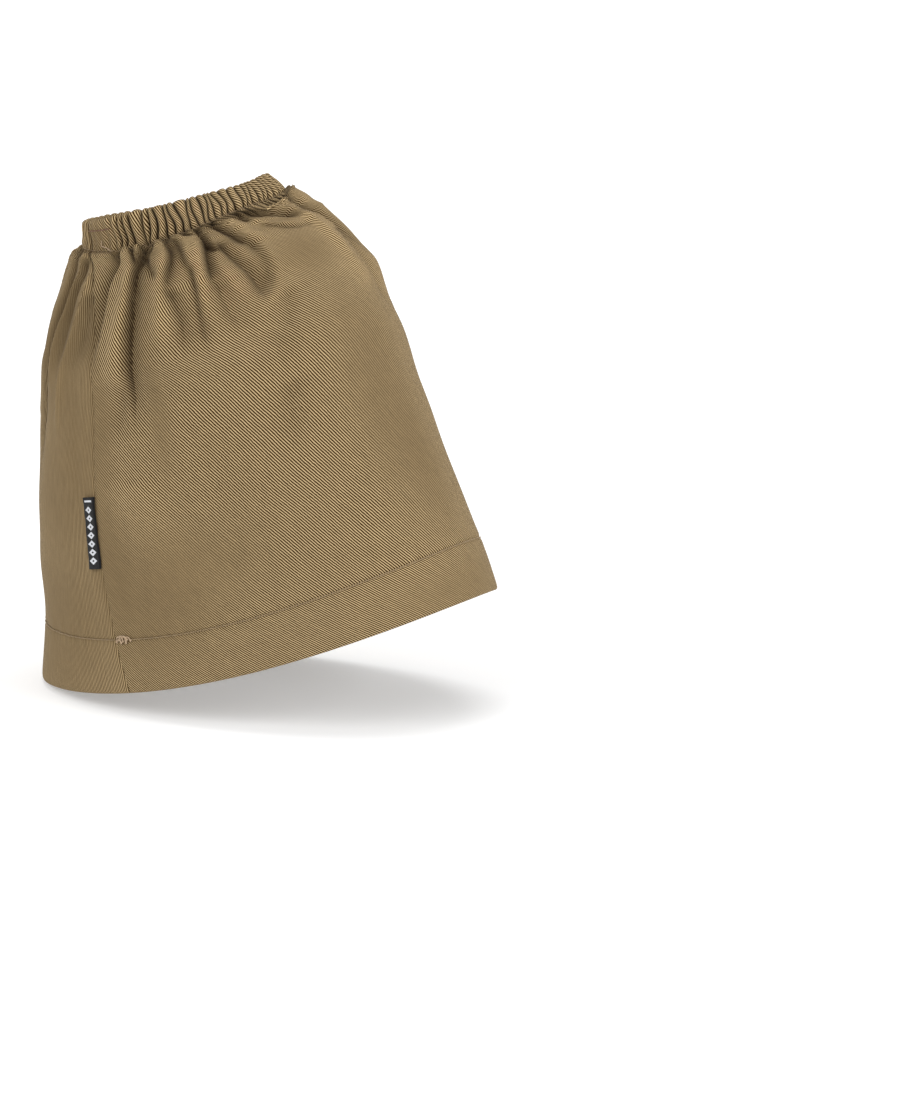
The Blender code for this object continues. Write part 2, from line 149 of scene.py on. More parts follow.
# Folds below the casing: height outwards (a trough is negative), half width at the top and at the foot, how steep
# its lower-numbered side is (negative for the other side), and the line that it follows: around, in thousandths of
# the girth, and down
FOLDS = (
    ("behind the edge", -2.6, 1.8, 5, 0.3, (92, 117, 128, 129, 120, 100, 78), (13.2, 17, 21.5, 28, 36, 50, 88)),
    ("first back crease", 1.3, 0.9, 2, 0, (163, 163, 155, 147, 136, 116), (16, 22, 28, 36, 41.5, 58)),
    ("between the creases", -1.8, 1.5, 3.4, 0, (172, 170, 164, 157, 148, 137), (18, 24, 28, 36, 44, 54)),
    ("second back crease", 1.3, 0.9, 2.2, 0.3, (192, 191, 182, 172, 162, 150, 134), (24, 29, 35, 41.5, 48, 55, 72)),
    ("soft hollow by the seam", -1.5, 2.2, 4, 0, (198, 191, 184, 176), (31, 40, 47, 53)),
    ("beside the seam", -2.9, 1.3, 3.6, -0.5,
     (222, 233, 237, 233, 227, 222, 216, 211, 203), (13.4, 17, 20.5, 23.5, 28, 33, 37.5, 42, 51)),
    ("finger", 1.5, 2, 3.8, 0, (250, 258, 262, 262, 256, 246, 238, 228), (15, 19, 23, 29, 34.5, 41, 48.5, 60)),
    ("long valley", -3.8, 1.4, 4.4, 0.6,
     (271, 277, 275, 270, 268, 266, 260, 255, 251, 246, 244),
     (13.2, 17, 20, 23.5, 27.5, 32, 37.5, 43.5, 50.5, 59, 70)),
    ("left arm of the V", -2, 0.8, 1, 0, (247, 257, 263, 266), (13.2, 16, 19, 23)),
    ("ridge in the V", 1, 0.8, 0.9, 0, (266, 270, 269), (14, 18, 22)),
    ("right arm of the V", -1.2, 0.8, 1.4, 0, (280, 284, 290, 296), (20, 24, 27.5, 31)),
    ("hook in the knuckle", -1.7, 0.9, 1, 0, (300, 296, 291, 284), (13.4, 16, 18.3, 19.6)),
    ("knuckle", 1.8, 2.3, 3.6, 0, (304, 308, 310, 308, 303, 298, 294, 290), (16, 20, 25, 29, 33.5, 38, 44, 52)),
    ("knuckle's right", -2.5, 1.2, 2, 0.3, (306, 315, 318, 318, 315, 310, 307), (13.4, 18, 22, 26, 30, 33.5, 36)),
    ("valley below the knuckle", -1.8, 2.1, 3.4, 0.2, (308, 311, 314, 313, 311), (37, 41, 47, 52.5, 57)),
    ("crease in the side ridge", -1.2, 0.9, 1.3, 0, (328, 331, 334, 337), (18, 24, 28, 32)),
    ("side ridge", 1.2, 1.2, 1.7, 0, (334, 338, 340, 343), (16, 21, 26, 31)),
    ("short valley", -1.8, 0.9, 1.2, 0, (334, 341, 349), (13.4, 16, 19)),
    ("ridge by the second valley", 1.3, 1.5, 2.6, 0, (347, 352, 352, 347, 342, 339), (18, 24, 30, 36, 41, 48)),
    ("thin crease in the side", -1.1, 0.9, 1.8, 0, (339, 337, 335, 333, 331), (32, 37, 43, 50, 58)),
    ("second long valley", -2.7, 1.1, 2, 0.4, (353, 361, 364, 363, 362, 359, 355), (13.4, 17, 20, 24, 29.5, 34, 39)),
    ("its branch", -1.9, 0.9, 1.2, 0, (364, 367, 371, 378), (22.5, 25, 27, 29)),
    ("ridge past it", 1.3, 1, 1.6, 0, (364, 369, 371, 377), (16.5, 20, 24, 28)),
    ("ridge under the branch", 1, 1.6, 2.8, 0, (369, 371, 374, 380), (31, 37, 43, 49)),
    ("diagonal", -2.4, 1.1, 1.9, -0.2, (380, 384, 391, 397, 401, 407, 416), (13.4, 15.5, 18.2, 21.5, 24.5, 28, 31.5)),
    ("under the diagonal", -2.2, 1.2, 3.2, 0.3,
     (380, 383, 386, 390, 394, 397, 400), (25.5, 28.5, 32, 36, 40, 45, 49.5)),
    ("inside the hook", -1.3, 1.8, 3.2, 0, (416, 416, 413, 407, 400), (31.5, 36.8, 41.5, 45.5, 49)),
    ("hook's ridge", 1.1, 2.2, 3.4, 0, (424, 424, 421, 414, 402, 388), (33, 38, 43, 48.5, 53, 56)),
    ("lower lobe", -1.7, 3, 4.6, 0.3, (360, 360, 363, 368), (40, 46.5, 52, 57)),
    ("upper puff", 1.3, 1.8, 3, 0, (407, 418, 430), (16, 24, 32)),
    ("short crease", -2, 1, 1.5, -0.3, (418, 427, 433, 439), (13.4, 15.5, 17.5, 20.5)),
    ("under the level trough", 1.2, 1, 1.5, 0, (436, 443, 454, 470, 490), (20, 23.2, 25.8, 28, 30)),
    ("below the finger", -0.7, 0.8, 0.9, 0, (444, 458, 475, 490, 506), (25, 27.6, 30, 31.6, 33)),
    ("level trough", -2.3, 1.4, 1.9, 0,
     (440, 452, 466, 480, 492, 501, 509), (14.8, 17, 18.6, 20.2, 22.2, 24.6, 26.6)),
    ("shoulder ridge", 1.2, 1, 2.4, 0,
     (450, 466, 480, 491, 501, 510, 517, 519, 517, 515), (13.6, 15.1, 16.6, 18.2, 20.8, 24, 28.2, 33, 38, 51)),
    ("past the shoulder", -2.1, 1.3, 2.4, 0.2,
     (530, 532, 532, 528, 529, 534, 540, 543, 544, 547), (15, 16.5, 18.5, 21.3, 24, 27, 30.5, 35, 40, 46)),
    ("far shoulder", 3.7, 10.2, 13, 0, (559, 548), (15.2, 62)),
    ("far shoulder's fullness", 2, 9, 13, 0, (579, 545), (26, 60)),
    ("front crease", -1.2, 1.8, 3.6, 0, (535, 528), (38, 66)),
    ("side hollow", -1.2, 14, 14, 0, (404, 372), (66, 96)),
    ("dark band", -1.4, 3.4, 5.4, 0, (424, 410, 398, 388), (52, 60, 66, 74)),
    ("dark band's foot", -1.4, 3.8, 6, 0, (394, 388, 381), (81, 86, 99)),
    ("hollow by the long valley", -1.3, 3, 4.4, 0, (236, 229, 223), (64, 71, 79)),
    ("low swell", 0.9, 9, 14, 0, (225, 285), (96, 138)),
    ("low hollow", -0.8, 9, 12, 0, (300, 330), (84, 132)),
    ("far level trough", -2.4, 1.3, 3.8, -0.5, (588, 586, 576), (13.4, 28, 46)),
    ("far small ridge", 1.2, 1.6, 3, 0, (604, 610), (16, 36)),
    ("far V, front arm", -2.4, 1.2, 4.4, 0.3, (622, 632, 642), (13.4, 30, 58)),
    ("far short valley", -1.7, 1.1, 1.8, -0.6, (645, 650), (13.4, 24)),
    ("far V, back arm", -2.4, 1.2, 4, 0.6, (668, 664, 654), (13.4, 34, 54)),
    ("far ridge", 1.6, 2, 5, 0, (694, 702, 706), (15, 36, 62)),
    ("far long valley", -3.3, 1.3, 4.6, -0.3, (727, 735, 742), (13.4, 34, 78)),
    ("far knuckle", 1.3, 1.8, 3.2, 0, (744, 748), (16, 36)),
    ("far second ridge", 1.4, 2, 4.5, 0, (764, 772), (16, 56)),
    ("far back short valley", -1.7, 1.1, 1.8, 0.5, (778, 783), (13.4, 22)),
    ("far third valley", -2.3, 1.2, 4, -0.5, (797, 790), (13.4, 48)),
    ("far fourth ridge", 1.1, 1.7, 3.4, 0, (815, 820), (16, 40)),
    ("far back valley", -2.7, 1.3, 5, 0.3, (835, 842, 850), (13.4, 34, 64)),
    ("far back ridge", 1.6, 2.4, 6, 0, (868, 885, 900), (17, 44, 70)),
    ("back short valley", -2, 1.1, 2.4, -0.6, (892, 905), (13.4, 30)),
    ("back valley", -2.7, 1.3, 6, 0.6, (922, 940, 960), (13.4, 46, 84)),
    ("back ridge", 1.4, 1.8, 4.6, 0, (952, 972), (16, 52)),
    ("centre back valley", -2.2, 1.2, 4.4, -0.3, (978, 996), (13.4, 44)),
    ("centre back ridge", 1.2, 1.8, 4, 0, (1004, 1016), (16, 44)),
    ("back right valley", -2.1, 1.2, 4.2, 0.5, (1030, 1036), (13.4, 48)),
    ("back right ridge", 1.1, 1.8, 3.6, 0, (1058, 1056), (16, 44)),
    ("back left valley", -2, 1.2, 4, -0.5, (1083, 1074), (13.4, 50)),
    ("far hollow", -1, 14, 14, 0, (620, 600), (70, 100)),
    ("back hollow", -1, 12, 16, 0, (20, 30), (74, 118)),
)
# How far down a fold rises, how much of its length it dies over, and how sharp a trough is
FOLD_RISE = 3.0
FOLD_FADE = 0.45
TROUGH_SHARPNESS = 1.4

# Patches where the weave shows less, its painted groove shade fading with it: the place, half its reach across and
# down, and how much is lost
FAINT_COLUMNS = ("around", "down", "across", "along", "lost")
FAINT_WEAVE = (
    (0.468, 95, 14, 40, 0.75), (0.14, 34, 12, 16, 0.55), (0.145, 62, 16, 22, 0.8), (0.175, 84, 10, 22, 0.75),
    (0.183, 48, 8, 12, 0.5), (0.162, 6, 8, 6, 0.65), (0.464, 41, 13, 8, 0.75), (0.229, 136, 26, 24, 0.75),
    (0.286, 128, 22, 14, 0.55), (0.194, 118, 9, 22, 0.7), (0.12, 143, 24, 24, 0.75), (0.136, 100, 17, 22, 0.75),
    (0.13, 40, 20, 26, 0.75), (0.203, 74, 6, 22, 0.65), (0.27, 76, 4, 20, 0.6), (0.487, 123, 9, 22, 0.55),
    (0.485, 161, 26, 8, 0.5), (0.62, 118, 16, 18, 0.6), (0.75, 60, 14, 20, 0.6), (0.86, 112, 18, 16, 0.65),
    (0.99, 84, 14, 24, 0.6),
)
# How light the cloth is where no weave shows, between its grooves (0) and its ribs (1)
PLAIN_RIB = 0.28

# Rows of cloth as (down, inset, gathered): inset is how far a row lies inside the form, and gathered how much of the
# gathers' height it has. The inner ply's gathers point inwards. The hem's rows and the panel's edges are given as
# (down, inset).
CASING_PATH = (
    (13.5, 1.25, 0.9), (13.2, 0.9, 0.95), (12.95, 0.58, 1), (12.6, 0.28, 1), (12.1, 0.08, 1), (11.4, -0.06, 1),
    (10.4, -0.16, 1), (9.2, -0.24, 1), (7.9, -0.29, 1), (6.5, -0.3, 1), (5.1, -0.28, 1), (3.9, -0.22, 1),
    (2.8, -0.12, 1), (1.9, 0, 1), (1.2, 0.12, 0.95), (0.65, 0.3, 0.7), (0.25, 0.56, 0.5), (0.04, 0.88, 0.3),
    (0, 1.2, 0.1), (0.1, 1.52, -0.1), (0.4, 1.84, -0.25), (0.9, 2.06, -0.32), (1.8, 2.2, -0.35), (3.4, 2.3, -0.35),
    (5.4, 2.36, -0.35), (7.6, 2.36, -0.35), (9.8, 2.3, -0.35), (11.5, 2.18, -0.35), (12.6, 2, -0.35),
    (13.2, 1.8, -0.3),
)
HEM_PATH = (
    (147.3, 1), (147.75, 0.62), (148.1, 0.3), (148.5, 0.08), (149.1, -0.05), (150.2, -0.1), (152, -0.1),
    (154.2, -0.08), (156.6, -0.06), (159, -0.05), (161.2, -0.04), (163.2, -0.04), (164.6, 0), (165.4, 0.12),
    (165.82, 0.4), (166, 0.8), (165.82, 1.2), (165.4, 1.48), (164.4, 1.62), (162, 1.7), (158.5, 1.72), (155, 1.72),
    (151.5, 1.72), (149.2, 1.7), (148.2, 1.66), (147.7, 1.5),
)
# The panel's rows: from here to here in steps of this, and its edges tucked under the casing and the hem
PANEL_STEPS = ((14, 24, 0.7), (24, 40, 1), (40, 62, 1.5), (62, 102, 2.2), (102, 145.4, 2.7))
PANEL_TOP = ((12.2, 1.45), (12.6, 1.1), (12.95, 0.78), (13.2, 0.5), (13.45, 0.26), (13.7, 0.1))
PANEL_FOOT = ((146.3, 0), (147, 0.08), (147.5, 0.22), (147.9, 0.44), (148.3, 0.72), (148.9, 0.86), (149.8, 0.9))

# The cut, a sector of a ring: the radius of its upper edge and its angle at the centre
CUT_RADIUS = 319.0
CUT_ANGLE = 0.94
# How far the cloth is pulled round beside the seam: the slant at the top, how far down it reaches, and how far round
PULL_SLANT = 0.37
PULL_DOWN = 60.0
PULL_ROUND = 0.30

# The casing's ply as a share of the drill's, and how far a painted highlight lightens the crests of the casing and of
# the rest
CASING_PLY = 0.85
CASING_PAINTED_HIGHLIGHT = 1.55
CLOTH_PAINTED_HIGHLIGHT = 1.20

# The groove along the seam, the bulk and puckers beside it, and the puckers along the hem's stitching
SEAM_GROOVE = 0.42
SEAM_GROOVE_WIDTH = 0.75
SEAM_BULK = 0.22
SEAM_PUCKER = 0.10
HEM_PUCKER = 0.14
HEM_PUCKER_WIDTH = 3.2
HEM_PUCKERS = 62
# How much painted shade the seam's groove gets, how deep for its width a trough is where its painted shade is half
# dark, and how wide that painted shade is
SEAM_SHADE = 0.55
TROUGH_SHADE = 0.75
TROUGH_SHADE_WIDTH = 0.9
# How far the cloth's height swings in slow and in quick waves where it has been handled, and where that starts
HAND_SLOW = 0.35
HAND_QUICK = 0.14
HAND_FROM = 30.0

# The label: where it starts, how far it is caught in the seam and the radius of its fold
LABEL_TOP = 99.0
LABEL_CAUGHT = 0.1
LABEL_FOLD = 0.36
# Its mesh: rows along it, and columns across each of its layers and round its fold
LABEL_ROWS = 28
LAYER_COLUMNS = 10
FOLD_COLUMNS = 6
# Its marks, as shares of its width and length: their middle, where the diamonds start and how far they go, the bar's
# place, and half the bar's height and width
LABEL_DIAMONDS = 7
MARKS_MIDDLE = 0.52
DIAMONDS_FROM = 0.115
DIAMONDS_OVER = 0.83
BAR_AT = 0.052
BAR_HALF_HEIGHT = 0.013
BAR_HALF_WIDTH = 0.34

# The camera, as found from the photo: its picture and the ring's place in it in pixels, and where it stands, in
# metres. The suns are so wide, and the floor lies so far under the cover.
PICTURE = (900, 1098)
FOCAL_PIXELS = 5795
RING_PIXEL = (180, 212)
CAMERA_DISTANCE = 2.0
CAMERA_TURNED = math.radians(-60)
CAMERA_RAISED = math.radians(12.3)
CAMERA_SET_BACK = (0.0, 0.0005, 0.002)
SUN_SPREAD = math.radians(40)
FLOOR_GAP = 0.0006

# In metres: the twist of the thread, and the spacing of the label's warp and weft
TWIST = 0.00045
TAPE_WARP = 0.00030
TAPE_WEFT = 0.00026
THREAD_SIDES = 6
# Along one stitch, how high the thread's middle rises over the cloth, in its own thicknesses
STITCH_SHARES = np.array((0.0, 0.10, 0.26, 0.5, 0.74, 0.90))
STITCH_RISES = np.array((-0.55, -0.02, 0.85, 1.05, 0.85, -0.02))


def millimetres(name, description, default):
    """A length in the sidebar, given here in millimetres."""
    return FloatProperty(
        name=name, description=description, default=default * MM, min=0.0, precision=5,
        subtype="DISTANCE", unit="LENGTH",
    )


def share(name, description, default):
    """A share from 0 to 1 in the sidebar."""
    return FloatProperty(name=name, description=description, default=default, min=0.0, max=1.0, subtype="FACTOR")


def colour(name, description, default):
    """A linear colour in the sidebar."""
    return FloatVectorProperty(
        name=name, description=description, default=default, min=0.0, max=1.0, size=3, subtype="COLOR",
    )


def strength(name, description, default):
    """A light's strength in the sidebar."""
    return FloatProperty(name=name, description=description, default=default, min=0.0)


def whole_number(name, description, default):
    """A number of columns in the sidebar."""
    return IntProperty(name=name, description=description, default=default, min=3)


class DrillSizes(bpy.types.PropertyGroup):
    """The drill and how it is laid."""

    ply: millimetres("Ply", "Thickness of one ply of the drill", 0.50)
    gather_height: share("Gather height", "Height of the gathers, as a share of the table's", 1.0)
    fold_height: share("Fold height", "Height of the folds, as a share of the table's", 1.0)
    front_columns: whole_number("Front columns", "Columns of the panel's mesh in each gather by the label", 9)
    columns: whole_number("Columns", "Columns of the panel's mesh in each other gather", 6)
    casing_columns: whole_number("Casing columns", "Columns of the casing's mesh in each gather", 12)
    hem_columns: whole_number("Hem columns", "Columns of the hem's mesh in each gather", 4)
    # The twill's ribs and grooves: the weave's own pattern, with painted shade in the grooves, which are near black
    rib_colour: colour("Rib colour", "Colour of the twill's raised ribs", (0.490, 0.361, 0.192))
    groove_colour_and_shade: colour("Groove colour", "Colour between the twill's ribs", (0.036, 0.015, 0.0005))
    # Painted shade: the colour that the cloth is mixed towards in its troughs, its gathers' valleys and the seam's
    # groove
    painted_shade_colour: colour("Hollow colour", "Colour deep in the folds", (0.018, 0.008, 0.001))
    twill_spacing: millimetres("Twill spacing", "Distance from one twill line to the next", 0.76)
    twill_lean: FloatProperty(
        name="Twill lean", description="Lean of the twill lines from the middle line of the cut",
        default=math.radians(19), subtype="ANGLE", unit="ROTATION",
    )
    twill_depth: millimetres("Twill depth", "Depth of the grooves between the ribs", 0.15)
    roughness: share("Roughness", "Roughness of the drill", 0.90)
    sheen: share("Sheen", "Soft nap on the drill", 0.05)


class SewingSizes(bpy.types.PropertyGroup):
    """The thread and its stitches."""

    stitch: millimetres("Stitch", "Length of one stitch", 2.5)
    thread: millimetres("Thread", "Thickness of the thread", 0.36)
    thread_colour: colour("Thread colour", "Colour of the sewing thread", (0.28, 0.195, 0.10))
    join_thread_colour: colour("Join thread colour", "Colour of the row on the casing's join", (0.17, 0.078, 0.040))
    pale_thread_colour: colour("Pale thread colour", "Colour of loose ends and of the knot", (0.50, 0.36, 0.23))


class LabelSizes(bpy.types.PropertyGroup):
    """The folded side label."""

    length: millimetres("Length", "Length of the label along the seam", 24.5)
    width: millimetres("Width", "How far the folded label stands out of the seam", 4.9)
    tape: millimetres("Tape", "Thickness of the tape", 0.30)
    tape_colour: colour("Tape colour", "Colour of the tape", (0.009, 0.009, 0.010))
    mark_colour: colour("Mark colour", "Colour of the woven marks", (0.72, 0.74, 0.78))


class StudioSizes(bpy.types.PropertyGroup):
    """The floor and the lights."""

    floor_colour: colour("Floor colour", "Colour of the plain floor", (0.84, 0.84, 0.84))
    floor_glow: strength("Floor glow", "Light of the floor's own, which softens the shadow on it", 0.25)
    even_light: strength("Even light", "Strength of the light from all round", 0.46)
    right_light: strength("Right light", "Strength of the soft light from the camera's right", 1.80)
    left_light: strength("Left light", "Strength of the soft light from the camera's left", 1.42)
    top_light: strength("Top light", "Strength of the soft light from above", 1.00)


def smooth_curve(knots, values, at):
    """A cubic curve through the knots, with no overshoot between even ones, and level past its ends."""
    at = np.clip(at, knots[0], knots[-1])
    steps = np.diff(knots)
    slopes = np.diff(values) / steps
    tangents = np.empty_like(values)
    tangents[0], tangents[-1] = slopes[0], slopes[-1]
    tangents[1:-1] = (slopes[:-1] * steps[1:] + slopes[1:] * steps[:-1]) / (steps[:-1] + steps[1:])
    k = np.clip(np.searchsorted(knots, at, side="right") - 1, 0, len(steps) - 1)
    t = (at - knots[k]) / steps[k]
    ends = (1 + 2 * t) * (1 - t) ** 2 * values[k] + t * t * (3 - 2 * t) * values[k + 1]
    bends = t * (1 - t) ** 2 * tangents[k] + t * t * (t - 1) * tangents[k + 1]
    return ends + steps[k] * bends


def soft_step(t):
    """Rises smoothly from 0 to 1."""
    t = np.clip(t, 0.0, 1.0)
    return t * t * (3 - 2 * t)


def bell(offset, reach):
    """1 in the middle, and less away from it."""
    return np.exp(-(offset / reach) ** 2)


def so_far(steps):
    """The distance covered before each step and after the last."""
    return np.concatenate(([0.0], np.cumsum(steps)))


def round_from(around, place):
    """How far round a place lies from another, the shorter way, as a share of the girth."""
    return (around - place + 0.5) % 1.0 - 0.5


def read_table(names, rows, down):
    """Each named column of a table, read at the distances down the cloth."""
    columns = dict(zip(names, np.array(rows, dtype=float).T))
    return {name: smooth_curve(columns["down"], column, down) for name, column in columns.items()}


def girth_at(down):
    """The section's girth, near enough for spacing."""
    size = read_table(SECTION_COLUMNS, SECTIONS, down)
    half_length = (size["back"] - size["front"]) / 2
    return 2 * math.pi * np.sqrt((half_length ** 2 + size["half_width"] ** 2) / 2)


def form(around, down):
    """A point on the smooth tube."""
    size = read_table(SECTION_COLUMNS, SECTIONS, down)
    half_length = (size["back"] - size["front"]) / 2
    half_width = size["half_width"]
    longness = (half_length ** 2 - half_width ** 2) / (half_length ** 2 + half_width ** 2)
    turn = 2 * math.pi * (0.5 - around)
    angle = turn + longness / 4 * np.sin(2 * turn)
    middle = (size["front_height"] + size["back_height"]) / 2
    tilt = (size["front_height"] - size["back_height"]) / 2 * np.cos(angle)
    lean = size["side_lean"] * np.sin(angle)
    aside = np.clip(round_from(around, FAR_LIFT_AT) / FAR_LIFT_REACH, -1.0, 1.0)
    lift = size["far_lift"] * np.cos(math.pi / 2 * aside) ** 2
    return np.stack((
        -half_width * np.sin(angle),
        (size["front"] + size["back"]) / 2 - half_length * np.cos(angle),
        middle + tilt + lean + lift + (size["side_height"] - middle) * np.sin(angle) ** 2,
    ), axis=-1)


def outward(around, down):
    """The unit normal of the smooth tube, pointing out."""
    small_turn, small_drop = 0.002, 0.2
    down = np.clip(down, small_drop, CLOTH_LENGTH - small_drop)
    across = form(around + small_turn, down) - form(around - small_turn, down)
    along = form(around, down + small_drop) - form(around, down - small_drop)
    normal = np.cross(along, across)
    return normal / np.linalg.norm(normal, axis=-1, keepdims=True)


def gather_layout():
    """The valleys' places at the rim, at the stitching and on the flat cloth, the gathers' heights, and the valleys'
    depths and ends.
    """
    shown = dict(zip(GATHER_COLUMNS, np.array(GATHERS_SHOWN).T))
    number = len(GATHERS_SHOWN) + np.arange(GATHERS_HIDDEN - 1)
    places = []
    for side in ("rim", "stitching"):
        start, end = shown[side][-1], shown[side][0] + 1.0
        uneven = GATHER_VARIES * np.sin(2.4 * number + (0.4 if side == "rim" else 0.0))
        steps = np.append(1.0 + uneven, 1.0)
        hidden = start + (end - start) * np.cumsum(steps) / steps.sum()
        places.append(np.concatenate((shown[side], hidden)) - shown[side][0])
    heights = np.concatenate((shown["height"], 1.0 + GATHER_VARIES * np.sin(1.7 * number + 1)))
    widths = np.diff((places[0] + places[1]) / 2) * girth_at(CASING_DEPTH / 2)
    cloth = np.hypot(widths, 2 * (GATHER_RIDGE + GATHER_VALLEY) * heights)
    places.append(so_far(cloth) / cloth.sum())
    shared = (heights + np.roll(heights, 1)) / 2
    longer = 0.5 + 0.5 * np.sin(2.1 * np.arange(len(heights)) + 0.7)
    ends = GATHER_ENDS[0] + (GATHER_ENDS[1] - GATHER_ENDS[0]) * longer
    return places, heights, shared, ends


(RIM_PLACES, STITCHING_PLACES, CLOTH_PLACES), GATHER_HEIGHTS, VALLEY_DEPTHS, VALLEY_ENDS = gather_layout()
GATHER_COUNT = len(GATHER_HEIGHTS)


def seam_at(down):
    """Where the seam lies."""
    return read_table(SEAM_COLUMNS, SEAM, down)["around"]


def between_valleys(gather, places):
    """A gather's place among the valleys' places."""
    return np.interp(gather, np.arange(GATHER_COUNT + 1), places)


def crowded(gather, down):
    """Draw the lines of each gather towards its valleys, whose steep walls take up the cloth."""
    along = gather - np.floor(gather)
    steepness = GATHER_STEEPNESS * (1 - soft_step((down - CASING_DEPTH) / GATHERS_CROWD_FOR))
    return gather - steepness * np.sin(2 * math.pi * along) / (2 * math.pi)


def around_at(gather, down):
    """Where a gather's line lies: crowded as the ring has it, then evenly spread over the panel."""
    gather = crowded(gather, down)
    fall = np.clip(down / CASING_DEPTH, 0.0, 1.0)
    on_ring = between_valleys(gather, RIM_PLACES) * (1 - fall) + between_valleys(gather, STITCHING_PLACES) * fall
    spread = soft_step((down - CASING_DEPTH) / (GATHERS_SPREAD_BY - CASING_DEPTH))
    place = on_ring * (1 - spread) + between_valleys(gather, CLOTH_PLACES) * spread
    off_seam = soft_step(gather / 3) * soft_step((GATHER_COUNT - gather) / 3)
    wander = np.sin(1.9 * gather + 0.33 * down) + 0.7 * np.sin(0.83 * gather - 0.52 * down + 2)
    return seam_at(down) + place + wander * off_seam * GATHER_WANDER / girth_at(down) * (1 - spread)


def gather_relief(gather, down):
    """Height of the gathers, rounded ridges between narrow valleys that end below the casing, and the painted shade
    in their valleys.
    """
    number = np.minimum(gather.astype(int), GATHER_COUNT - 1)
    after = (number + 1) % GATHER_COUNT
    along = crowded(gather, down) - number
    below = down - CASING_DEPTH
    left = VALLEY_DEPTHS[number] * (1 - soft_step(below / VALLEY_ENDS[number]))
    right = VALLEY_DEPTHS[after] * (1 - soft_step(below / VALLEY_ENDS[after]))
    deep = left * (1 - along) + right * along
    valley = GATHER_VALLEY * deep
    pinch = 1 - 0.45 * bell(below, 1.0)
    ridge = GATHER_RIDGE * GATHER_HEIGHTS[number] * pinch * (1 - soft_step(below / (1.2 * GATHER_ENDS[1])))
    rounded = np.sqrt(np.abs(np.sin(math.pi * along)))
    puff = PUFF_HEIGHT * bell(down - PUFF_AT, PUFF_REACH) * soft_step(below / 2.5) * (0.5 + 0.5 * rounded)
    # Painted shade deep in each valley between the gathers
    return (valley + ridge) * rounded - valley + puff, np.clip(1.9 * deep * (1 - rounded) ** 1.6, 0.0, 1.0)


def fold_relief(around, down):
    """Height of the folds below the casing, and how open each place is, which sets its painted shade: 1 on the face,
    less down in a trough.
    """
    relief, open_share = np.zeros_like(around), np.ones_like(around)
    girth = girth_at(down)
    for _, height, top_half_width, foot_half_width, steep, thousandths, downs in FOLDS:
        arounds, downs = np.array(thousandths) / 1000, np.array(downs, dtype=float)
        top, foot = downs[0], downs[-1]
        along = np.clip((down - top) / (foot - top), 0.0, 1.0)
        half_width = top_half_width + (foot_half_width - top_half_width) * along
        aside = round_from(around, smooth_curve(downs, arounds, down)) * girth
        slant = (smooth_curve(downs, arounds, down + 0.5) - smooth_curve(downs, arounds, down - 0.5)) * girth
        aside /= np.hypot(1.0, slant)
        rise = max(FOLD_RISE, 0.5 * top_half_width) if height > 0 else FOLD_RISE
        rising = soft_step((down - top) / rise + 0.5)
        dying = 1 - soft_step((down - foot) / (FOLD_FADE * (foot - top)) + 0.5)
        half_width *= 1 + steep * np.sign(aside)
        sharp = 2.0 if height > 0 else TROUGH_SHARPNESS
        fold = np.exp(-np.abs(aside / half_width) ** sharp) * rising * dying
        relief += height * fold
        # Painted shade: a trough darkens the cloth the more, the deeper it is for its width
        if height < 0:
            narrow = (height / (TROUGH_SHADE * half_width)) ** 2
            open_share *= 1 - narrow / (1 + narrow) * fold ** TROUGH_SHADE_WIDTH
    return relief, open_share


def hand(around, down):
    """The small unevenness of cloth that has been handled."""
    turn = 2 * math.pi * around
    slow = np.sin(5 * turn + 0.061 * down + 1) * np.sin(0.043 * down + 2 * turn)
    quick = np.sin(13 * turn - 0.11 * down) * np.sin(0.13 * down + 7 * turn + 2)
    return (HAND_SLOW * slow + HAND_QUICK * quick) * soft_step((down - HAND_FROM) / 40)


def beside_seam(gather, around, down):
    """How far a place lies round from the seam, in millimetres, and less than nothing behind it."""
    aside = (around - seam_at(down)) * girth_at(down)
    return np.where(gather > GATHER_COUNT / 2, aside - girth_at(down), aside)


def drawn_in(down):
    """How tightly the seam is drawn in: most just below the casing."""
    return 0.35 + 0.65 * bell(down - 23.0, 11.0)


def seam_relief(gather, around, down):
    """The groove along the seam, the bulk of its allowance towards the back, and its puckers."""
    aside = beside_seam(gather, around, down)
    groove = SEAM_GROOVE * drawn_in(down) * bell(aside, SEAM_GROOVE_WIDTH)
    bulk = SEAM_BULK * soft_step((aside + 9) / 3) * soft_step(-aside / 0.8)
    pucker = SEAM_PUCKER * np.sin(0.62 * down) * bell(aside, 4.0) * soft_step((down - 16) / 8)
    return bulk + pucker - groove


def hem_relief(gather, down):
    """Slanting puckers along the hem's stitching."""
    close = bell(down - HEM_STITCHING, HEM_PUCKER_WIDTH)
    return HEM_PUCKER * close * np.sin(2 * math.pi * HEM_PUCKERS * gather / GATHER_COUNT + 0.45 * down)


def at_shoulder(around, down):
    """1 where the far shoulder starts, and less away from it."""
    across = (around - SHOULDER_RISE_AT[0]) / SHOULDER_RISE_REACH[0]
    along = (down - SHOULDER_RISE_AT[1]) / np.where(down < SHOULDER_RISE_AT[1], *SHOULDER_RISE_REACH[1:])
    return np.exp(-across ** 2 - along ** 2)


